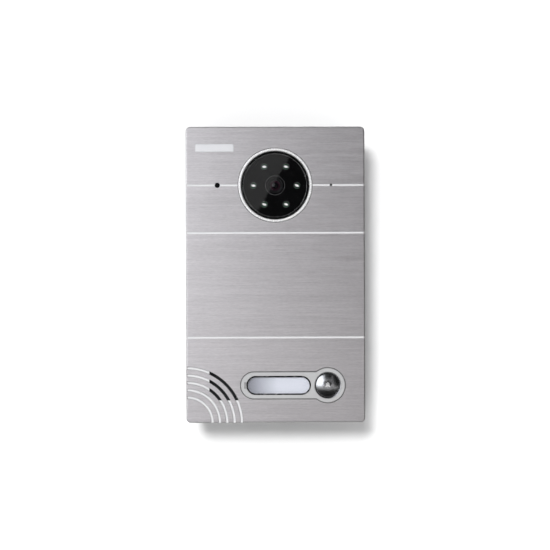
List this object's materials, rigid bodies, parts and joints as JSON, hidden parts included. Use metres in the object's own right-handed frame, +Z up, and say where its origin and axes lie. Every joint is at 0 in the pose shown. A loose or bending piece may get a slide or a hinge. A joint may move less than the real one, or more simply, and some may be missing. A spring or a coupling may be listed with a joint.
{
  "type": "door intercom panel",
  "caption": "Surface-mounted video door station with brushed face, camera window, arc speaker grille, name plate and domed call button, on a steel wall bracket.",
  "frame": {"origin": "middle of the wall bracket's rear face, on the wall, level with the middle of the front panel", "axes": "+Z up, +X to the right as a visitor sees it, +Y into the wall; the front faces -Y"},
  "size_m": [0.116, 0.047, 0.192],
  "materials": {
    "brushed_face": "fine horizontal brushing, clear anodised",
    "satin_trim": "satin, clear anodised",
    "bright_ring": "polished",
    "smoked_glass": "gloss, smoked",
    "clear_window": "gloss, clear",
    "lens": "coated",
    "lamp_epoxy": "clear epoxy",
    "black_blind": "fine matte black",
    "black_barrel": "black anodised, turned",
    "button_cap": "high gloss, metallised",
    "icon_insert": "clear, printed bell",
    "card": "plain card",
    "milky_guide": "milky, translucent",
    "case_black": "fine spark-eroded texture",
    "foam": "closed-cell foam",
    "silicone": "smooth silicone",
    "screw_steel": "zinc plated",
    "spring_steel": "bright spring wire",
    "bracket_steel": "galvanised, light spangle",
    "sheet_steel": "tin plated",
    "ferrite": "sintered",
    "cone_paper": "pressed fibre",
    "mesh": "black woven mesh",
    "green_board": "solder mask over copper",
    "chip_black": "moulded epoxy",
    "led_white": "phosphor and white moulding",
    "can": "sleeved can",
    "gold": "gold flash",
    "terminal_green": "satin moulding",
    "polyimide": "amber film",
    "lead_black": "soft insulation",
    "tamper_red": "moulded"
  },
  "bodies": {
    "panel": {"face_plate": "brushed_face", "blank_badge": "satin_trim", "front_gasket": "foam", "chassis_screws": "screw_steel", "camera_ring": "bright_ring", "window_seal": "silicone", "camera_window": "smoked_glass", "camera_mask": "black_blind", "ir_board": "green_board", "ir_leds": "lamp_epoxy", "lens_barrel": "black_barrel", "lens_glass": "lens", "lens_holder": "black_blind", "camera_board": "green_board", "image_sensor": "chip_black", "light_pipe": "clear_window", "light_sensor": "green_board", "microphone_boot": "silicone", "microphone": "sheet_steel", "speaker_mesh": "mesh", "speaker_gasket": "foam", "speaker_basket": "sheet_steel", "speaker_cone": "cone_paper", "speaker_magnet": "ferrite", "name_trim": "satin_trim", "name_card": "card", "name_light_guide": "milky_guide", "button_bezel": "bright_ring", "button_spring": "spring_steel", "switch_body": "black_blind", "button_board": "green_board", "backlight_leds": "led_white", "small_screws": "screw_steel", "front_chassis": "case_black", "case_seal": "silicone", "main_board": "green_board", "board_screws": "screw_steel", "processor_shield": "sheet_steel", "network_transformer": "chip_black", "door_relay": "chip_black", "capacitors": "can", "network_jack": "chip_black", "jack_contacts": "gold", "terminal_header": "terminal_green", "camera_ribbon": "polyimide", "speaker_leads": "lead_black", "tamper_switch": "black_blind", "tamper_spring": "spring_steel", "rear_case": "case_black", "case_screws": "screw_steel", "rear_seal": "foam", "wall_bracket": "bracket_steel", "security_screws": "screw_steel"},
    "button": {"call_button": "button_cap", "button_icon": "icon_insert"},
    "switch": {"switch_plunger": "chip_black"},
    "tamper": {"tamper_plunger": "tamper_red"},
    "window": {"name_window": "clear_window"},
    "plug": {"terminal_plug": "terminal_green", "terminal_screws": "screw_steel"}
  },
  "joints": [
    {"name": "button_press", "type": "slide", "parent": "panel", "child": "button", "axis": [0, 1, 0], "range_m": [0, 0.001], "stiffness_N_per_m": 800, "springref_m": -0.001, "deforming": ["button_spring"]},
    {"name": "switch_press", "type": "slide", "parent": "panel", "child": "switch", "axis": [0, 1, 0], "range_m": [0, 0.0011]},
    {"name": "tamper_release", "type": "slide", "parent": "panel", "child": "tamper", "axis": [0, 1, 0], "range_m": [0, 0.0024], "stiffness_N_per_m": 300, "springref_m": 0.0024, "deforming": ["tamper_spring"]},
    {"name": "window_pull", "type": "slide", "parent": "panel", "child": "window", "axis": [0, -1, 0], "range_m": [0, 0.012]},
    {"name": "plug_pull", "type": "slide", "parent": "panel", "child": "plug", "axis": [0, 1, 0], "range_m": [0, 0.009]}
  ],
  "couplings": [
    {"joint": "switch_press", "follows": "button_press", "ratio": 1}
  ]
}
